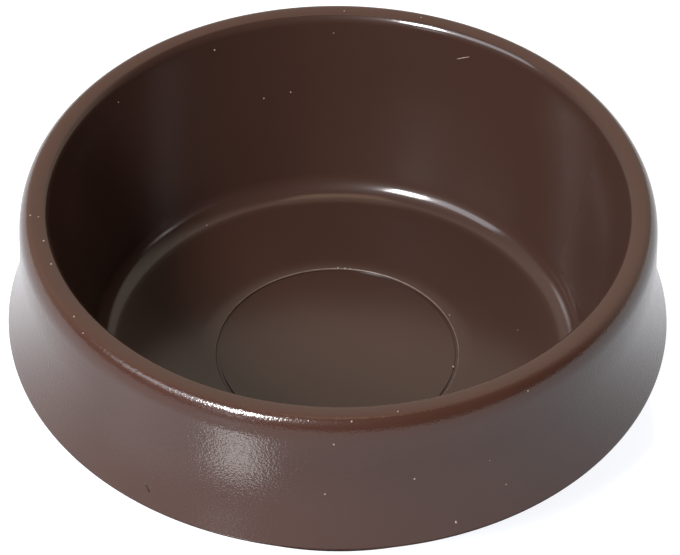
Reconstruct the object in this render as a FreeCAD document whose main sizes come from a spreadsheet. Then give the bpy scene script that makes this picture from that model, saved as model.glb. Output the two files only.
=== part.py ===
import FreeCAD, Part
import math
import os
import Sketcher

# A castor cup: one plastic moulding that stands under a furniture castor and spreads its load.
# It is a body of revolution about Z, standing on z = 0, with its sizes in millimetres and degrees.
# The drafted cup, with a cove round its floor, stands on a plain foot. Below the rounded rim a
# nearly upright strip runs into a hollow-curved skirt, which flares out, stops short of the ground
# and is cored out behind.

sizes = {
    "rim_diameter": 56.2,         # outside of the rim, at the top of its upright strip
    "skirt_flare": 1.9,           # how far the skirt's lower edge stands out beyond the rim
    "skirt_edge_height": 7.35,    # from the ground to the skirt's lower edge
    "floor_thickness": 2.0,       # under the castor
    "cup_depth": 18.9,            # from the crest of the rim down to the floor
    "shoulder_radius": 1.1,       # outer rounding of the rim
    "rim_side_height": 3.2,       # nearly upright strip between the shoulder and the skirt's curve
    "rim_side_draft": 4.2,        # slope of that strip from upright
    "land_width": 0.85,           # level strip on the crest
    "inner_edge": 0.6,            # broken edge between the crest and the cup's wall, both ways
    "wall_draft": 10.3,           # slope of the cup's wall from upright
    "cove_radius": 2.0,           # where the wall runs into the floor
    "cup_wall": 1.9,              # thickness of the cup's wall below the rim
    "foot_chamfer": 1.0,          # outer corner of the foot on the ground
    "skirt_wall": 1.9,            # thickness of the skirt across its lower edge
    "core_draft": 14.0,           # slope of the skirt's inner side from upright
    "core_top_width": 1.2,        # level top of the cored-out ring
    "insert_diameter": 22.2,      # round line that the mould's insert left on the floor
    "insert_line_width": 0.3,
    "insert_line_depth": 0.15,
}

document = FreeCAD.newDocument("CastorCup")
sheet = document.addObject("Spreadsheet::Sheet", "Sizes")
for row, (name, value) in enumerate(sizes.items(), start=1):
    sheet.set("A%d" % row, name)
    sheet.set("B%d" % row, str(value))
    sheet.setAlias("B%d" % row, name)
document.recompute()

body = document.addObject("PartDesign::Body", "CastorCup")
body.Label = "castor_cup"

# The places on a line or arc that a constraint can name, and the sketch's origin
start, end, centre = 1, 2, 3
origin = (-1, start)


def point(radius, height):
    return FreeCAD.Vector(radius, height, 0)


def along(degrees, length):
    """A step of this length in the section, at an angle from the outward direction."""
    return point(length * math.cos(math.radians(degrees)), length * math.sin(math.radians(degrees)))


def new_section(name):
    """A sketch in an upright plane through the axis: radius across, height up."""
    sketch = body.newObject("Sketcher::SketchObject", name)
    plane = next(item for item in body.Origin.OriginFeatures if item.Role == "XZ_Plane")
    sketch.AttachmentSupport = [(plane, "")]
    sketch.MapMode = "FlatFace"
    return sketch


def line(sketch, first, last):
    return sketch.addGeometry(Part.LineSegment(first, last), False)


def arc(sketch, middle, radius, first, last):
    """An arc drawn anticlockwise between two angles in degrees."""
    circle = Part.Circle(middle, FreeCAD.Vector(0, 0, 1), radius)
    curve = Part.ArcOfCircle(circle, math.radians(first), math.radians(last))
    return sketch.addGeometry(curve, False)


def rule(sketch, *terms):
    return sketch.addConstraint(Sketcher.Constraint(*terms))


def size(sketch, name, formula, *terms):
    """A named dimension of a sketch, tied to the sheet by a formula."""
    sketch.renameConstraint(rule(sketch, *terms), name)
    sketch.setExpression("Constraints." + name, formula)


def turn(kind, name, sketch):
    """Turns a section about the upright axis, to add or to cut."""
    document.recompute()
    if not sketch.FullyConstrained:
        raise RuntimeError("the sketch is not fully constrained: " + sketch.Name)
    feature = body.newObject(kind, name)
    feature.Profile = sketch
    feature.ReferenceAxis = (sketch, ["V_Axis"])
    feature.Angle = 360
    document.recompute()
    return feature


# Heights and radii of the section, worked out from the sizes
draft = sizes["wall_draft"]
core_draft = sizes["core_draft"]
side_draft = sizes["rim_side_draft"]
edge_height = sizes["skirt_edge_height"]
floor_height = sizes["floor_thickness"]
crest_height = floor_height + sizes["cup_depth"]
rim_radius = sizes["rim_diameter"] / 2
skirt_radius = rim_radius + sizes["skirt_flare"]

# The rim, from its outer rounding over the crest to the top of the cup's wall
shoulder_radius = sizes["shoulder_radius"]
shoulder_centre = point(rim_radius - shoulder_radius, crest_height - shoulder_radius)
side_top = shoulder_centre + along(side_draft, shoulder_radius)
side_foot = side_top + along(side_draft - 90, sizes["rim_side_height"] / math.cos(math.radians(side_draft)))
land_inner = point(shoulder_centre.x - sizes["land_width"], crest_height)
wall_top = land_inner - point(sizes["inner_edge"], sizes["inner_edge"])


def beside_wall(height, distance):
    """A point at this height, this far from the inside of the cup's wall towards the skirt."""
    inside = wall_top.x - (wall_top.y - height) * math.tan(math.radians(draft))
    return point(inside + distance / math.cos(math.radians(draft)), height)


# The cup's wall has parallel sides. The cove joins it to the floor, the chamfer to the ground
cove_radius = sizes["cove_radius"]
cove_centre = beside_wall(floor_height + cove_radius, -cove_radius)
foot_wall_start = beside_wall(sizes["foot_chamfer"], sizes["cup_wall"])
foot_edge = foot_wall_start - point(sizes["foot_chamfer"], sizes["foot_chamfer"])

# The skirt's hollow curve touches the strip below the rim and ends at the skirt's lower edge
skirt_outer = point(skirt_radius, edge_height)
skirt_inner = skirt_outer - point(sizes["skirt_wall"], 0)
fall = skirt_outer - side_foot
flare_radius = fall.dot(fall) / (2 * fall.dot(along(side_draft, 1)))
flare_centre = side_foot + along(side_draft, flare_radius)
flare_end = math.degrees(math.atan2(edge_height - flare_centre.y, skirt_radius - flare_centre.x)) + 360

# The cored-out ring narrows upwards between the cup's wall and the skirt to its level top
core_foot_width = skirt_inner.x - beside_wall(edge_height, sizes["cup_wall"]).x
core_narrowing = math.tan(math.radians(draft)) + math.tan(math.radians(core_draft))
core_height = edge_height + (core_foot_width - sizes["core_top_width"]) / core_narrowing
core_left = beside_wall(core_height, sizes["cup_wall"])
core_right = core_left + point(sizes["core_top_width"], 0)

# The cup's section, from the axis along the ground and round by the skirt, the rim and the floor
section = new_section("cup_section")
foot_face = line(section, point(0, 0), foot_edge)
foot_chamfer = line(section, foot_edge, foot_wall_start)
foot_wall = line(section, foot_wall_start, core_left)
core_top = line(section, core_left, core_right)
skirt_side = line(section, core_right, skirt_inner)
skirt_edge = line(section, skirt_inner, skirt_outer)
flare = arc(section, flare_centre, flare_radius, 180 + side_draft, flare_end)
rim_side = line(section, side_foot, side_top)
shoulder = arc(section, shoulder_centre, shoulder_radius, side_draft, 90)
land = line(section, point(shoulder_centre.x, crest_height), land_inner)
inner_edge = line(section, land_inner, wall_top)
cup_wall = line(section, cove_centre + along(-draft, cove_radius), wall_top)
cove = arc(section, cove_centre, cove_radius, -90, -draft)
cup_floor = line(section, point(cove_centre.x, floor_height), point(0, floor_height))
axis = line(section, point(0, floor_height), point(0, 0))

rule(section, "Coincident", foot_face, start, *origin)
rule(section, "Coincident", foot_face, end, foot_chamfer, start)
rule(section, "Coincident", foot_chamfer, end, foot_wall, start)
rule(section, "Coincident", foot_wall, end, core_top, start)
rule(section, "Coincident", core_top, end, skirt_side, start)
rule(section, "Coincident", skirt_side, end, skirt_edge, start)
rule(section, "Coincident", skirt_edge, end, flare, end)
rule(section, "Tangent", flare, start, rim_side, start)
rule(section, "Tangent", rim_side, end, shoulder, start)
rule(section, "Tangent", shoulder, end, land, start)
rule(section, "Coincident", land, end, inner_edge, start)
rule(section, "Coincident", inner_edge, end, cup_wall, end)
rule(section, "Tangent", cup_wall, start, cove, end)
rule(section, "Tangent", cove, start, cup_floor, start)
rule(section, "Coincident", cup_floor, end, axis, start)
rule(section, "Coincident", axis, end, foot_face, start)
for level in (foot_face, core_top, skirt_edge, land, cup_floor):
    rule(section, "Horizontal", level)
rule(section, "Vertical", axis)
rule(section, "Parallel", foot_wall, cup_wall)

size(section, "shoulder_place", "Sizes.rim_diameter / 2 - Sizes.shoulder_radius",
     "DistanceX", *origin, shoulder, centre, shoulder_centre.x)
size(section, "shoulder_radius", "Sizes.shoulder_radius",
     "Radius", shoulder, shoulder_radius)
size(section, "rim_side_angle", "90 + Sizes.rim_side_draft",
     "Angle", rim_side, math.radians(90 + side_draft))
size(section, "rim_side_height", "Sizes.rim_side_height",
     "DistanceY", rim_side, start, rim_side, end, sizes["rim_side_height"])
size(section, "skirt_radius", "Sizes.rim_diameter / 2 + Sizes.skirt_flare",
     "DistanceX", *origin, skirt_edge, end, skirt_radius)
size(section, "skirt_edge_height", "Sizes.skirt_edge_height",
     "DistanceY", *origin, skirt_edge, end, edge_height)
size(section, "skirt_wall", "Sizes.skirt_wall",
     "DistanceX", skirt_edge, start, skirt_edge, end, sizes["skirt_wall"])
size(section, "skirt_side_angle", "Sizes.core_draft - 90",
     "Angle", skirt_side, math.radians(core_draft - 90))
size(section, "core_top_width", "Sizes.core_top_width",
     "DistanceX", core_top, start, core_top, end, sizes["core_top_width"])
size(section, "crest_height", "Sizes.floor_thickness + Sizes.cup_depth",
     "DistanceY", *origin, land, start, crest_height)
size(section, "land_width", "Sizes.land_width",
     "DistanceX", land, end, land, start, sizes["land_width"])
size(section, "inner_edge_width", "Sizes.inner_edge",
     "DistanceX", inner_edge, end, inner_edge, start, sizes["inner_edge"])
size(section, "inner_edge_depth", "Sizes.inner_edge",
     "DistanceY", inner_edge, end, inner_edge, start, sizes["inner_edge"])
size(section, "wall_angle", "90 - Sizes.wall_draft",
     "Angle", cup_wall, math.radians(90 - draft))
size(section, "cup_wall", "Sizes.cup_wall",
     "Distance", foot_wall, start, cup_wall, sizes["cup_wall"])
size(section, "cove_radius", "Sizes.cove_radius",
     "Radius", cove, cove_radius)
size(section, "floor_thickness", "Sizes.floor_thickness",
     "DistanceY", *origin, cup_floor, end, floor_height)
size(section, "foot_chamfer_width", "Sizes.foot_chamfer",
     "DistanceX", foot_chamfer, start, foot_chamfer, end, sizes["foot_chamfer"])
size(section, "foot_chamfer_height", "Sizes.foot_chamfer",
     "DistanceY", foot_chamfer, start, foot_chamfer, end, sizes["foot_chamfer"])
moulding = turn("PartDesign::Revolution", "moulding", section)

# The fine round line on the floor
insert_section = new_section("insert_section")
line_inner = (sizes["insert_diameter"] - sizes["insert_line_width"]) / 2
line_outer = line_inner + sizes["insert_line_width"]
line_bottom = floor_height - sizes["insert_line_depth"]
corners = [
    point(line_inner, line_bottom), point(line_outer, line_bottom),
    point(line_outer, floor_height), point(line_inner, floor_height)]
sides = [line(insert_section, corners[i], corners[(i + 1) % 4]) for i in range(4)]
for i in range(4):
    rule(insert_section, "Coincident", sides[i], end, sides[(i + 1) % 4], start)
    rule(insert_section, "Horizontal" if i % 2 == 0 else "Vertical", sides[i])
size(insert_section, "line_inner", "(Sizes.insert_diameter - Sizes.insert_line_width) / 2",
     "DistanceX", *origin, sides[0], start, line_inner)
size(insert_section, "line_width", "Sizes.insert_line_width",
     "DistanceX", sides[0], start, sides[0], end, sizes["insert_line_width"])
size(insert_section, "line_depth", "Sizes.insert_line_depth",
     "DistanceY", sides[1], start, sides[1], end, sizes["insert_line_depth"])
size(insert_section, "line_top", "Sizes.floor_thickness",
     "DistanceY", *origin, sides[2], start, floor_height)
insert_line = turn("PartDesign::Groove", "insert_line", insert_section)
if insert_line.Shape.Volume >= moulding.Shape.Volume:
    raise RuntimeError("the insert line cut nothing")

# Every object has to be sound before the solid is written
for item in document.Objects:
    if "Invalid" in item.State or "Error" in item.State:
        raise RuntimeError("failed: " + item.Name)
if body.Shape.isNull() or not body.Shape.isValid():
    raise RuntimeError("unsound solid: " + body.Label)
os.makedirs("parts", exist_ok=True)
body.Shape.exportStep("parts/%s.step" % body.Label)
box = body.Shape.optimalBoundingBox(False)
print("%s: %d solid, %.0f mm3, %.2f x %.2f x %.2f mm"
      % (body.Label, len(body.Shape.Solids), body.Shape.Volume, box.XLength, box.YLength, box.ZLength))
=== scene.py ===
import bpy
import math
from mathutils import Euler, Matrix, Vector
from mathutils.geometry import intersect_point_line


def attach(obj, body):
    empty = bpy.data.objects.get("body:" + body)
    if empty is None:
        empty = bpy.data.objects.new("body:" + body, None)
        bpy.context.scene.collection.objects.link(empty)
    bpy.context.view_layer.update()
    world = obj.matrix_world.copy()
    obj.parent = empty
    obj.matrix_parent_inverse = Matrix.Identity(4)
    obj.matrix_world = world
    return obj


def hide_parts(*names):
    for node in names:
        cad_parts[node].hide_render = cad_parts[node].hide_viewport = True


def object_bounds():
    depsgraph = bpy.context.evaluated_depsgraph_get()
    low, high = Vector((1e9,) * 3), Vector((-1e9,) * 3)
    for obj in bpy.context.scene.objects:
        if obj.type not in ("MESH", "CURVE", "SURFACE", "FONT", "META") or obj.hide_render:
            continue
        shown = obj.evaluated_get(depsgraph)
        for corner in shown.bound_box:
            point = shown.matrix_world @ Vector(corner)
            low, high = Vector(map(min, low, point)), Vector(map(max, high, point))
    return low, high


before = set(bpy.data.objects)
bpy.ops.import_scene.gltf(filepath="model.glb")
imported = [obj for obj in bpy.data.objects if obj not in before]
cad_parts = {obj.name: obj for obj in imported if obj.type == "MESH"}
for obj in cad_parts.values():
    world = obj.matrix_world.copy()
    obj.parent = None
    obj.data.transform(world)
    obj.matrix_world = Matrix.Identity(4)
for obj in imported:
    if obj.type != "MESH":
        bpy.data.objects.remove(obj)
cadLow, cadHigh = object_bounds()
mm = 0.001
print("frame loaded, CAD box", [round(v / mm, 2) for v in cadHigh - cadLow], "mm")


def linearColour(hexCode):
    # sRGB hex to the linear values that shaders take
    parts = [int(hexCode[i:i + 2], 16) / 255 for i in (1, 3, 5)]
    return tuple(c / 12.92 if c <= 0.04045 else ((c + 0.055) / 1.055) ** 2.4 for c in parts) + (1.0,)


def addNode(tree, kind, values=None, links=None, **settings):
    node = tree.nodes.new(kind)
    for name, value in settings.items():
        setattr(node, name, value)
    for socket, value in (values or {}).items():
        node.inputs[socket].default_value = value
    for socket, source in (links or {}).items():
        tree.links.new(source, node.inputs[socket])
    return node


def newMaterial(name):
    material = bpy.data.materials.new(name)
    material.use_nodes = True
    tree = material.node_tree
    tree.nodes.clear()
    return material, tree


# the cup: one moulding, turned about Z, in millimetres and degrees
cup = {
    "turnSteps": 288,          # quads round the cup
    "rimRadius": 28.25,        # outside of the rim's rounding
    "skirtEdgeHeight": 7.35,   # the skirt stops this far above the ground
    "floorThickness": 2.0,
    "shoulderRadius": 1.25,    # outer rounding of the rim, measured across
    "shoulderTall": 2.0,       # how much taller than wide that rounding is
    "rimSideHeight": 3.1,      # nearly upright strip between the shoulder and the skirt's curve
    "rimSideDraft": 2.6,       # slope of that strip from upright
    "landWidth": 0.99,         # level strip on the crest
    "crestDrop": 0.05,         # the crest keeps this far under the CAD box, and only nibs on it reach the top
    "innerEdgeRadius": 1.2,    # inner rounding of the rim
    "innerEdgeStart": 55.0,    # slope from upright at which that rounding leaves the crest
    "wallDraft": 10.3,         # slope of the cup's wall from upright
    "coveRadius": 2.4,         # where the wall runs into the floor
    "cupWall": 1.9,
    "footChamfer": 1.0,
    "skirtWall": 1.9,
    "skirtEdgeRadius": 0.38,   # both corners of the skirt's lower edge
    "coreDraft": 14.0,         # slope of the skirt's inner side from upright
    "coreTopWidth": 1.2,       # level top of the cored-out ring
    "insertRadius": 10.98,     # round line that the mould's insert left on the floor
    "insertLineWidth": 0.3,
    "insertLineDepth": 0.25,
    "insertLip": 0.12,         # rounded outer lip of that line
    "insertDrop": 0.1,         # the disc inside the line lies this much lower
    "arcStep": 6.0,            # turn between the rings of a rounding
    "shoulderSteps": 20, "sideSteps": 4, "flareSteps": 16, "wallSteps": 16,   # rings along each stretch
    "floorSteps": 6, "lipSteps": 4, "discSteps": 8,
    "mergeGap": 0.002,         # points nearer than this become one
    "smoothAngle": 40.0,       # edges that turn more than this stay sharp
}


def arcRings(centre, radius, first, last, steps=None, tall=1.0):
    # rings of a rounding in the section, from one angle to another
    steps = steps or max(2, round(abs(last - first) / cup["arcStep"]))
    angles = [math.radians(first + (last - first) * i / steps) for i in range(steps + 1)]
    return [(centre[0] + radius * math.cos(a), centre[1] + tall * radius * math.sin(a)) for a in angles]


def straightRings(first, last, steps):
    # rings between two others, without the two themselves
    return [tuple(first[k] + (last[k] - first[k]) * i / steps for k in (0, 1)) for i in range(1, steps)]


def cupSection():
    # radius and height of every ring, from the ground out by the skirt, over the rim and down to the floor
    draft = math.radians(cup["wallDraft"])
    sideDraft = math.radians(cup["rimSideDraft"])
    coreDraft = math.radians(cup["coreDraft"])
    crest = cadHigh.z / mm - cup["crestDrop"]
    skirtRadius = cadHigh.x / mm
    floorHeight = cup["floorThickness"]
    edgeHeight = cup["skirtEdgeHeight"]
    edgeRadius = cup["skirtEdgeRadius"]

    # the rim, whose outer rounding starts where it has the slope of the strip below it
    tall = cup["shoulderTall"]
    shoulder = (cup["rimRadius"] - cup["shoulderRadius"], crest - tall * cup["shoulderRadius"])
    sideAngle = math.degrees(math.atan(tall * math.tan(sideDraft)))
    shoulderRings = arcRings(shoulder, cup["shoulderRadius"], sideAngle, 90, cup["shoulderSteps"], tall)
    leaveAngle = 180 - cup["innerEdgeStart"]
    leave = math.radians(leaveAngle)
    innerEdge = (shoulder[0] - cup["landWidth"] - cup["innerEdgeRadius"] * math.cos(leave),
                 crest - cup["innerEdgeRadius"] * math.sin(leave))
    innerRings = arcRings(innerEdge, cup["innerEdgeRadius"], leaveAngle, 180 - cup["wallDraft"])
    wallTop = innerRings[-1]

    def besideWall(height, distance):
        # this far from the inside of the cup's wall towards the skirt
        return (wallTop[0] - (wallTop[1] - height) * math.tan(draft) + distance / math.cos(draft), height)

    # the skirt's hollow curve touches the strip below the rim and ends at the rounded lower edge
    sideTop = shoulderRings[0]
    sideFoot = (sideTop[0] + cup["rimSideHeight"] * math.tan(sideDraft), sideTop[1] - cup["rimSideHeight"])
    out, down = skirtRadius - sideFoot[0], edgeHeight - sideFoot[1]
    flareRadius = (out * out + down * down) / (2 * (out * math.cos(sideDraft) + down * math.sin(sideDraft)))
    flare = (sideFoot[0] + flareRadius * math.cos(sideDraft), sideFoot[1] + flareRadius * math.sin(sideDraft))
    cornerHeight = edgeHeight + edgeRadius
    lean = math.asin((flare[1] - edgeHeight - edgeRadius) / flareRadius)  # slope of the curve at the edge
    flareRings = arcRings(flare, flareRadius, 180 + math.degrees(lean), 180 + cup["rimSideDraft"],
                          cup["flareSteps"])
    outerCorner = (flareRings[0][0] - edgeRadius / math.cos(lean), cornerHeight)
    skirtInner = skirtRadius - cup["skirtWall"]
    innerCorner = (skirtInner + edgeRadius * (1 / math.cos(coreDraft) - math.tan(coreDraft)), cornerHeight)

    # the cored-out ring behind the skirt, the foot and the cove
    footWidth = skirtInner - besideWall(edgeHeight, cup["cupWall"])[0]
    coreRise = (footWidth - cup["coreTopWidth"]) / (math.tan(draft) + math.tan(coreDraft))
    coreLeft = besideWall(edgeHeight + coreRise, cup["cupWall"])
    footWall = besideWall(cup["footChamfer"], cup["cupWall"])
    cove = besideWall(floorHeight + cup["coveRadius"], -cup["coveRadius"])
    coveRings = arcRings(cove, cup["coveRadius"], -cup["wallDraft"], -90)

    rings = [(footWall[0] - cup["footChamfer"], 0.0), footWall]
    rings += [coreLeft, (coreLeft[0] + cup["coreTopWidth"], coreLeft[1])]
    rings += arcRings(innerCorner, edgeRadius, 180 + cup["coreDraft"], 270)
    rings += arcRings(outerCorner, edgeRadius, -90, math.degrees(lean)) + flareRings[1:]
    rings += straightRings(sideFoot, sideTop, cup["sideSteps"]) + shoulderRings + innerRings
    rings += straightRings(wallTop, coveRings[0], cup["wallSteps"]) + coveRings

    # the floor, with the insert's line sunk in it, to the middle
    lineOuter = cup["insertRadius"] + cup["insertLineWidth"] / 2
    lineInner = lineOuter - cup["insertLineWidth"]
    lineBottom = floorHeight - cup["insertLineDepth"]
    lip = cup["insertLip"]
    rings += straightRings(rings[-1], (lineOuter + lip, floorHeight), cup["floorSteps"])
    rings += arcRings((lineOuter + lip, floorHeight - lip), lip, 90, 180, cup["lipSteps"])
    discHeight = floorHeight - cup["insertDrop"]
    rings += [(lineOuter, lineBottom), (lineInner, lineBottom), (lineInner, discHeight)]
    rings += straightRings(rings[-1], (0, discHeight), cup["discSteps"])
    return rings


def makeCup(rings):
    firstRadius, firstHeight = rings[0]
    bpy.ops.object.select_all(action="DESELECT")
    bpy.ops.mesh.primitive_circle_add(vertices=cup["turnSteps"], radius=firstRadius * mm, fill_type="NGON",
                                      location=(0, 0, firstHeight * mm))
    piece = bpy.context.object
    piece.name = "castorCup"
    bpy.ops.object.transform_apply(location=True, rotation=True, scale=True)
    bpy.ops.object.mode_set(mode="EDIT")
    bpy.ops.mesh.select_all(action="SELECT")
    # the face is carried ring by ring along the section and ends as the middle of the floor
    for (radius, height), (nextRadius, nextHeight) in zip(rings, rings[1:]):
        bpy.ops.mesh.extrude_region_move(TRANSFORM_OT_translate={"value": (0, 0, (nextHeight - height) * mm)})
        share = nextRadius / radius
        bpy.ops.transform.resize(value=(share, share, 1), center_override=(0, 0, nextHeight * mm))
    bpy.ops.mesh.merge(type="COLLAPSE")
    bpy.ops.mesh.select_all(action="SELECT")
    bpy.ops.mesh.remove_doubles(threshold=cup["mergeGap"] * mm)
    bpy.ops.mesh.normals_make_consistent(inside=False)
    bpy.ops.object.mode_set(mode="OBJECT")
    bpy.ops.object.shade_smooth_by_angle(angle=math.radians(cup["smoothAngle"]))
    return piece


section = cupSection()
castorCup = makeCup(section)
print("cup modelled,", len(castorCup.data.polygons), "faces")

# moulded polypropylene, through-coloured brown: satin outside, polished inside
plastic = {
    "inside": ("#3A2620", "#34221C"),
    "outside": ("#40271F", "#3A231B"),
    "burrAndHighlight": ("#75655B", "#33231C"),   # thin flash pales where bent, partly a painted highlight
    "cloudSize": 9.0,          # mm, slow drift of the colour
    "cloudDetail": 3.0,
    "ior": 1.49,
    "satinRoughness": 0.17,
    "grainSize": 0.2,          # mm, grain of the spark-eroded mould, drawn coarse enough to show
    "grainHeight": 0.024,      # mm
    "glossRoughness": 0.14,
    "plainRoughness": 0.21,    # wall and floor, a little duller than the roundings
    "burrRoughness": 0.45,
    "burrSize": 0.9, "burrHeight": 0.05,   # mm
    "burrShare": 0.7,          # of the lip's width
    "waveSize": 7.0,           # mm, faint waviness of the polished side
    "waveHeight": 0.02,        # mm
    "reliefDetail": 1.0,       # of grain, waves and burr alike
    "satinHaze": 0.15, "glossHaze": 0.2, "plainHaze": 0.14,  # soft bloom round every reflection
    "hazeRoughness": 0.45,
    "slopeSlack": 0.02, "levelSlope": 0.99,   # upward share of a face's normal, to tell the surfaces apart
}


def brownPlastic(name, colours, roughness, haze, bumpSize, bumpHeight, cloudSize):
    # one through-coloured plastic; the sides of the mould differ in roughness and in the relief they left
    material, tree = newMaterial(name)
    place = addNode(tree, "ShaderNodeTexCoord").outputs["Object"]
    clouds = addNode(tree, "ShaderNodeTexNoise",
                     {"Scale": 1 / (cloudSize * mm), "Detail": plastic["cloudDetail"]}, {"Vector": place})
    colour = addNode(tree, "ShaderNodeMix", {6: linearColour(colours[0]), 7: linearColour(colours[1])},
                     {0: clouds.outputs["Fac"]}, data_type="RGBA")
    relief = addNode(tree, "ShaderNodeTexNoise",
                     {"Scale": 1 / (bumpSize * mm), "Detail": plastic["reliefDetail"]}, {"Vector": place})
    bump = addNode(tree, "ShaderNodeBump", {"Strength": 1.0, "Distance": bumpHeight * mm},
                   {"Height": relief.outputs["Fac"]})
    shader = addNode(tree, "ShaderNodeBsdfPrincipled",
                     {"Roughness": roughness, "IOR": plastic["ior"],
                      "Coat Weight": haze, "Coat Roughness": plastic["hazeRoughness"]},
                     {"Base Color": colour.outputs[2], "Normal": bump.outputs["Normal"]})
    addNode(tree, "ShaderNodeOutputMaterial", None, {"Surface": shader.outputs["BSDF"]})
    return material


def finishCup(piece):
    # spark-eroded outside: soft sheen, and a fine grain that glints only near a lamp
    satin = brownPlastic("satinBrownPolypropylene", plastic["outside"],
                         plastic["satinRoughness"], plastic["satinHaze"],
                         plastic["grainSize"], plastic["grainHeight"], plastic["cloudSize"])
    # polished roundings inside: sharp reflections, drawn a little wavy
    gloss = brownPlastic("glossBrownPolypropylene", plastic["inside"],
                         plastic["glossRoughness"], plastic["glossHaze"],
                         plastic["waveSize"], plastic["waveHeight"], plastic["cloudSize"])
    # wall and floor inside: the same shine, softer
    plain = brownPlastic("plainBrownPolypropylene", plastic["inside"],
                         plastic["plainRoughness"], plastic["plainHaze"],
                         plastic["waveSize"], plastic["waveHeight"], plastic["cloudSize"])
    # lip of the insert's line: pale uneven flash, partly a painted highlight
    burrAndHighlight = brownPlastic("burredBrownPaintedHighlight", plastic["burrAndHighlight"],
                        plastic["burrRoughness"], plastic["glossHaze"],
                        plastic["burrSize"], plastic["burrHeight"], plastic["burrSize"])
    finishes = [satin, gloss, plain, burrAndHighlight]
    for material in finishes:
        piece.data.materials.append(material)

    partingRadius = cup["rimRadius"] - cup["shoulderRadius"] - cup["landWidth"]
    lipRadius = cup["insertRadius"] + cup["insertLineWidth"] / 2
    burrHighlightRadius = lipRadius + plastic["burrShare"] * cup["insertLip"]
    wallSlope = math.sin(math.radians(cup["wallDraft"]))
    for face in piece.data.polygons:
        radius = math.hypot(face.center.x, face.center.y) / mm
        slope = face.normal.z
        if radius > partingRadius or slope < -plastic["slopeSlack"]:
            finish = satin
        # the steep part of the lip: flash, and a painted highlight
        elif lipRadius < radius < burrHighlightRadius:
            finish = burrAndHighlight
        elif abs(slope - wallSlope) < plastic["slopeSlack"] or slope > plastic["levelSlope"]:
            finish = plain
        else:
            finish = gloss
        face.material_index = finishes.index(finish)


finishCup(castorCup)

# small marks on the cup: radius, angle and height of each place, then its size, in millimetres and degrees
marks = {
    "pale": ("#A39286", "#6E5D52"),
    "dark": ("#1E130F", "#150C09"),
    "nibSteps": 2,             # how finely a nib is divided
    "nibs": [
        # left and back of the crest
        (27.12, -174.3, 20.81, 0.09), (26.43, -173.7, 20.81, 0.08), (26.28, -166.8, 20.79, 0.11),
        (26.31, -160.1, 20.79, 0.11), (27.16, -145.3, 20.81, 0.09), (27.56, -141.2, 20.62, 0.08),
        (26.45, 89.2, 20.81, 0.08), (26.67, 73.5, 20.82, 0.07),
        # wall
        (25.35, 117.6, 19.19, 0.09), (25.30, 143.5, 18.95, 0.07), (24.20, 107.3, 12.86, 0.08),
        (24.23, 101.1, 13.06, 0.08), (25.33, 91.4, 19.08, 0.06),
        # floor
        (21.10, 126.8, 2.08, 0.08), (11.51, 25.2, 2.0, 0.07), (10.82, -9.8, 1.92, 0.10),
        (17.01, 10.1, 2.0, 0.05), (11.22, 90.0, 2.0, 0.09), (11.18, 86.6, 1.97, 0.10),
        (11.22, 84.2, 2.0, 0.06),
        # front of the rim, and skirt
        (27.50, -87.4, 20.69, 0.09), (26.90, -79.2, 20.82, 0.07), (27.97, -55.3, 19.96, 0.07),
        (28.24, -90.4, 18.74, 0.09), (28.79, -91.8, 13.17, 0.09), (28.65, -76.7, 14.19, 0.09),
        (29.17, -60.2, 10.95, 0.06), (28.67, -63.1, 14.06, 0.05), (29.60, -69.8, 8.93, 0.13),
    ],
    # from the first place to the second, and half the width
    "fibre": ((25.16, 64.4, 18.2), (25.30, 61.4, 18.9), 0.045),
    "scratch": ((29.41, -123.9, 9.80), (29.56, -122.5, 9.12), 0.07),
}


def placeOnCup(radius, angle, height, size):
    # the nearest point of the section, so that a mark sits on the cup, and within the CAD box
    place, found = Vector((radius, height)), []
    for first, last in zip(section, section[1:]):
        share = min(1, max(0, intersect_point_line(place, first, last)[1]))
        found.append(Vector(first).lerp(Vector(last), share))
    nearest = min(found, key=lambda point: (point - place).length)
    turn = math.radians(angle)
    markHeight = min(nearest.y, cadHigh.z / mm - size)
    return Vector((nearest.x * math.cos(turn), nearest.x * math.sin(turn), markHeight)) * mm


def addNib(place, size, material, stretch=1.0, turn=(0, 0, 0)):
    bpy.ops.object.select_all(action="DESELECT")
    bpy.ops.mesh.primitive_ico_sphere_add(
        subdivisions=marks["nibSteps"], radius=size * mm, location=place, rotation=turn)
    bpy.ops.transform.resize(value=(stretch, 1, 1), orient_type="LOCAL")
    nib = bpy.context.object
    nib.data.materials.append(material)
    bpy.ops.object.transform_apply(location=True, rotation=True, scale=True)
    return nib


def addStreak(streak, material):
    # one long low nib between two places
    start, end, halfWidth = streak
    first, last = placeOnCup(*start, halfWidth), placeOnCup(*end, halfWidth)
    along = last - first
    stretch = along.length / (2 * halfWidth * mm)
    turn = along.to_track_quat("X", "Z").to_euler()
    return addNib((first + last) / 2, halfWidth, material, stretch, turn)


def addMarks(piece):
    # dry pale specks that catch the light, and one dark score without any bloom
    pale = brownPlastic("paleBrownPolypropylene", marks["pale"],
                        plastic["burrRoughness"], plastic["plainHaze"],
                        plastic["burrSize"], plastic["burrHeight"], plastic["burrSize"])
    dark = brownPlastic("scoredBrownPolypropylene", marks["dark"],
                        plastic["burrRoughness"], 0.0,
                        plastic["burrSize"], plastic["burrHeight"], plastic["burrSize"])
    parts = [addNib(placeOnCup(*nib), nib[3], pale) for nib in marks["nibs"]]
    parts.append(addStreak(marks["fibre"], pale))
    parts.append(addStreak(marks["scratch"], dark))
    bpy.ops.object.select_all(action="DESELECT")
    for part in parts:
        part.select_set(True)
    piece.select_set(True)
    bpy.context.view_layer.objects.active = piece
    bpy.ops.object.join()
    print("marks added,", len(parts))


addMarks(castorCup)
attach(castorCup, "root")
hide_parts("castor_cup")
print("finishes on")

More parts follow.
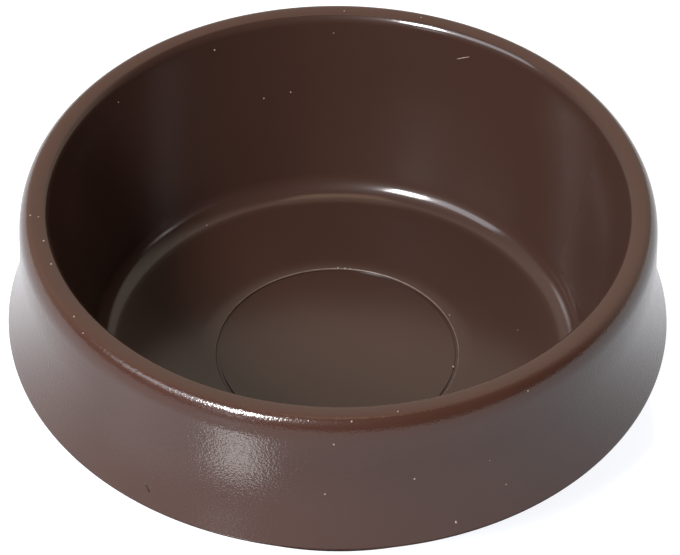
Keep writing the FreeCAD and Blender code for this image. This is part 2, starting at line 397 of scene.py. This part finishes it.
# the table that the cup stands on
table = {
    "width": 3000.0,           # mm
    "colour": "#A0A0A0",
    "roughness": 0.04,
    "glowColour": "#F8FAFF",
    "cameraGlow": 0.94,        # white that the camera sees on top of the lit table
    "nearGlow": 1.03,          # white painted into the cup's reflections, on the camera's side
    "leftGlow": 1.22, "rightGlow": 0.98,   # and beside and behind the cup
    "sideReach": 40.0,         # mm, from the one side to the other
    "glowStart": -45.0, "glowFull": 5.0,   # mm along Y, from the one to the other
    "paintedShadeInner": 33.0, "paintedShadeOuter": 48.0,   # mm from the middle, painted shade in front of the cup
    "footInner": 24.0, "footOuter": 30.0,     # and all round, painted shade below the skirt
    "underGlow": 0.6,          # painted light glowing under the foot, for a look at its underside
    "gap": 0.02,               # mm, keeps the table's face clear of the foot
}


def makeTable():
    bpy.ops.object.select_all(action="DESELECT")
    bpy.ops.mesh.primitive_plane_add(size=table["width"] * mm, location=(0, 0, -table["gap"] * mm))
    piece = bpy.context.object
    piece.name = "table"
    material, tree = newMaterial("whiteTable")
    place = addNode(tree, "ShaderNodeTexCoord").outputs["Object"]
    spread = addNode(tree, "ShaderNodeSeparateXYZ", None, {"Vector": place})
    away = addNode(tree, "ShaderNodeVectorMath", None, {0: place}, operation="LENGTH").outputs["Value"]
    path = addNode(tree, "ShaderNodeLightPath")

    # the table's painted reflection: bright beside and behind, painted shade in front and below the skirt
    sideGlow = addNode(tree, "ShaderNodeMapRange",
                       {"From Min": -table["sideReach"] * mm, "From Max": table["sideReach"] * mm,
                        "To Min": table["leftGlow"], "To Max": table["rightGlow"]},
                       {"Value": spread.outputs["X"]})
    # painted shade close in front of the cup, in the reflected glow
    nearGlow = addNode(tree, "ShaderNodeMapRange",
                       {"From Min": table["paintedShadeInner"] * mm, "From Max": table["paintedShadeOuter"] * mm,
                        "To Min": 0.0, "To Max": table["nearGlow"]},
                       {"Value": away}, interpolation_type="SMOOTHSTEP")
    mirrorGlow = addNode(tree, "ShaderNodeMapRange",
                         {"From Min": table["glowStart"] * mm, "From Max": table["glowFull"] * mm},
                         {"Value": spread.outputs["Y"], "To Min": nearGlow.outputs["Result"],
                          "To Max": sideGlow.outputs["Result"]}, interpolation_type="SMOOTHSTEP")
    # painted shade below the skirt, in the reflected glow
    paintedShadeBelowSkirt = addNode(tree, "ShaderNodeMapRange",
                         {"From Min": table["footInner"] * mm, "From Max": table["footOuter"] * mm,
                          "To Min": 0.0},
                         {"Value": away, "To Max": mirrorGlow.outputs["Result"]},
                         interpolation_type="SMOOTHSTEP")
    mirrored = addNode(tree, "ShaderNodeMath", None,
                       {0: path.outputs["Is Glossy Ray"], 1: paintedShadeBelowSkirt.outputs["Result"]},
                       operation="MULTIPLY")

    # painted light from the table onto the foot's underside, and what the camera sees
    underFoot = addNode(tree, "ShaderNodeMapRange",
                        {"From Min": table["footInner"] * mm, "From Max": table["footOuter"] * mm,
                         "To Min": table["underGlow"], "To Max": 0.0}, {"Value": away})
    under = addNode(tree, "ShaderNodeMath", None,
                    {0: path.outputs["Is Diffuse Ray"], 1: underFoot.outputs["Result"],
                     2: mirrored.outputs[0]}, operation="MULTIPLY_ADD")
    glow = addNode(tree, "ShaderNodeMath", {1: table["cameraGlow"]},
                   {0: path.outputs["Is Camera Ray"], 2: under.outputs[0]}, operation="MULTIPLY_ADD")

    # in the cup's reflections the glow stands in for the lit table
    colour = addNode(tree, "ShaderNodeMix", {6: linearColour(table["colour"]), 7: (0, 0, 0, 1)},
                     {0: path.outputs["Is Glossy Ray"]}, data_type="RGBA")
    lit = addNode(tree, "ShaderNodeBsdfPrincipled",
                  {"Roughness": table["roughness"], "Emission Color": linearColour(table["glowColour"])},
                  {"Base Color": colour.outputs[2], "Emission Strength": glow.outputs[0]})
    # open from below, so that the cup's underside can be seen
    clear = addNode(tree, "ShaderNodeBsdfTransparent")
    faced = addNode(tree, "ShaderNodeMixShader", None,
                    {0: addNode(tree, "ShaderNodeNewGeometry").outputs["Backfacing"],
                     1: lit.outputs["BSDF"], 2: clear.outputs["BSDF"]})
    addNode(tree, "ShaderNodeOutputMaterial", None, {"Surface": faced.outputs["Shader"]})
    piece.data.materials.append(material)


makeTable()

# lamps: azimuth from the camera and elevation in degrees, distance from the cup and size in metres
lamps = {
    "softbox": {"colour": "#FFFFFF", "azimuth": -34.0, "elevation": 41.0, "distance": 0.7,
                "width": 0.15, "height": 0.18, "radiance": 88.0},
    "leftPanel": {"colour": "#F4F6FF", "azimuth": -62.0, "elevation": 38.0, "distance": 0.8,
                  "width": 0.42, "height": 0.28, "radiance": 5.0},
    "lowPanel": {"colour": "#EEF4FF", "azimuth": -33.0, "elevation": 14.0, "distance": 0.7,
                 "width": 0.12, "height": 0.09, "radiance": 5.0},
    "overhead": {"colour": "#FFD4B0", "azimuth": 0.0, "elevation": 88.0, "distance": 0.9,
                 "width": 0.3, "height": 0.3, "radiance": 1.5},
}


def makeLamp(name, setting):
    azimuth, elevation = math.radians(setting["azimuth"]), math.radians(setting["elevation"])
    towards = Vector((math.sin(azimuth) * math.cos(elevation), -math.cos(azimuth) * math.cos(elevation),
                      math.sin(elevation)))
    bpy.ops.object.light_add(type="AREA", location=towards * setting["distance"])
    lamp = bpy.context.object
    lamp.name = name
    lamp.rotation_euler = towards.to_track_quat("Z", "Y").to_euler()
    lamp.data.color = linearColour(setting["colour"])[:3]
    lamp.data.shape = "RECTANGLE"
    lamp.data.size, lamp.data.size_y = setting["width"], setting["height"]
    # a panel's power is its radiance times its area times pi
    lamp.data.energy = setting["radiance"] * setting["width"] * setting["height"] * math.pi
    lamp.visible_camera = False


for lampName, lampSetting in lamps.items():
    makeLamp(lampName, lampSetting)

# the room: a pale backdrop behind the cup, darker on the camera's side
room = {
    "colour": "#FFF0DE",
    "far": 0.84, "near": 0.02,         # behind the cup and behind the camera
    "farFrom": 0.45, "nearTo": -0.25,  # Y of the direction at which each is reached
    "left": 0.05, "right": 0.03,       # added on each side
    "horizon": 0.8,                    # share of the backdrop's light low down
    "lowTo": 0.2, "highFrom": 0.6,     # Z of the direction, from that share to the whole
}


def makeRoom():
    world = bpy.data.worlds.new("studio")
    bpy.context.scene.world = world
    world.use_nodes = True
    tree = world.node_tree
    tree.nodes.clear()
    direction = addNode(tree, "ShaderNodeTexCoord").outputs["Generated"]
    parts = addNode(tree, "ShaderNodeSeparateXYZ", None, {"Vector": direction})
    depth = addNode(tree, "ShaderNodeMapRange",
                    {"From Min": room["nearTo"], "From Max": room["farFrom"],
                     "To Min": room["near"], "To Max": room["far"]},
                    {"Value": parts.outputs["Y"]}, interpolation_type="SMOOTHSTEP")
    side = addNode(tree, "ShaderNodeMapRange",
                   {"From Min": -1.0, "From Max": 1.0, "To Min": room["left"], "To Max": room["right"]},
                   {"Value": parts.outputs["X"]})
    rise = addNode(tree, "ShaderNodeMapRange",
                   {"From Min": room["lowTo"], "From Max": room["highFrom"],
                    "To Min": room["horizon"], "To Max": 1.0},
                   {"Value": parts.outputs["Z"]}, interpolation_type="SMOOTHSTEP")
    level = addNode(tree, "ShaderNodeMath", None,
                    {0: depth.outputs["Result"], 1: rise.outputs["Result"], 2: side.outputs["Result"]},
                    operation="MULTIPLY_ADD")
    lit = addNode(tree, "ShaderNodeBackground", {"Color": linearColour(room["colour"])},
                  {"Strength": level.outputs[0]})
    # the camera sees plain white
    white = addNode(tree, "ShaderNodeBackground", {"Color": (1, 1, 1, 1), "Strength": 1.0})
    path = addNode(tree, "ShaderNodeLightPath")
    mixed = addNode(tree, "ShaderNodeMixShader", None,
                    {0: path.outputs["Is Camera Ray"],
                     1: lit.outputs["Background"], 2: white.outputs["Background"]})
    addNode(tree, "ShaderNodeOutputWorld", None, {"Surface": mixed.outputs["Shader"]})


makeRoom()
print("stage and light set")

# the camera: distance and elevation from the middle of the skirt's lower edge,
# and where that point falls in the picture
view = {
    "imageWidth": 680, "imageHeight": 555,
    "elevation": 43.54,
    "distance": 300.0,         # mm
    "focalPixels": 3297.0,     # focal length in pixels of that picture
    "aimX": 337.7, "aimY": 308.6,
    "roll": 0.55,
    "sensorWidth": 36.0,       # mm
    "clipStart": 10.0,         # mm
}


def makeCamera():
    elevation = math.radians(view["elevation"])
    aim = Vector((0, 0, cup["skirtEdgeHeight"] * mm))
    back = Vector((0, -math.cos(elevation), math.sin(elevation)))
    bpy.ops.object.camera_add(location=aim + back * view["distance"] * mm)
    camera = bpy.context.object
    camera.name = "camera"
    camera.data.sensor_width = view["sensorWidth"]
    camera.data.lens = view["focalPixels"] * view["sensorWidth"] / view["imageWidth"]
    # turned a little off the aim, so that it falls where the picture has it
    right = (view["imageWidth"] / 2 - view["aimX"]) / view["focalPixels"]
    up = (view["aimY"] - view["imageHeight"] / 2) / view["focalPixels"]
    turn = Euler((math.atan(up), -math.atan(right), math.radians(view["roll"]))).to_quaternion()
    camera.rotation_mode = "QUATERNION"
    camera.rotation_quaternion = (-back).to_track_quat("-Z", "Y") @ turn
    camera.data.clip_start = view["clipStart"] * mm
    bpy.context.scene.camera = camera


makeCamera()
bpy.context.scene.view_settings.view_transform = "Standard"
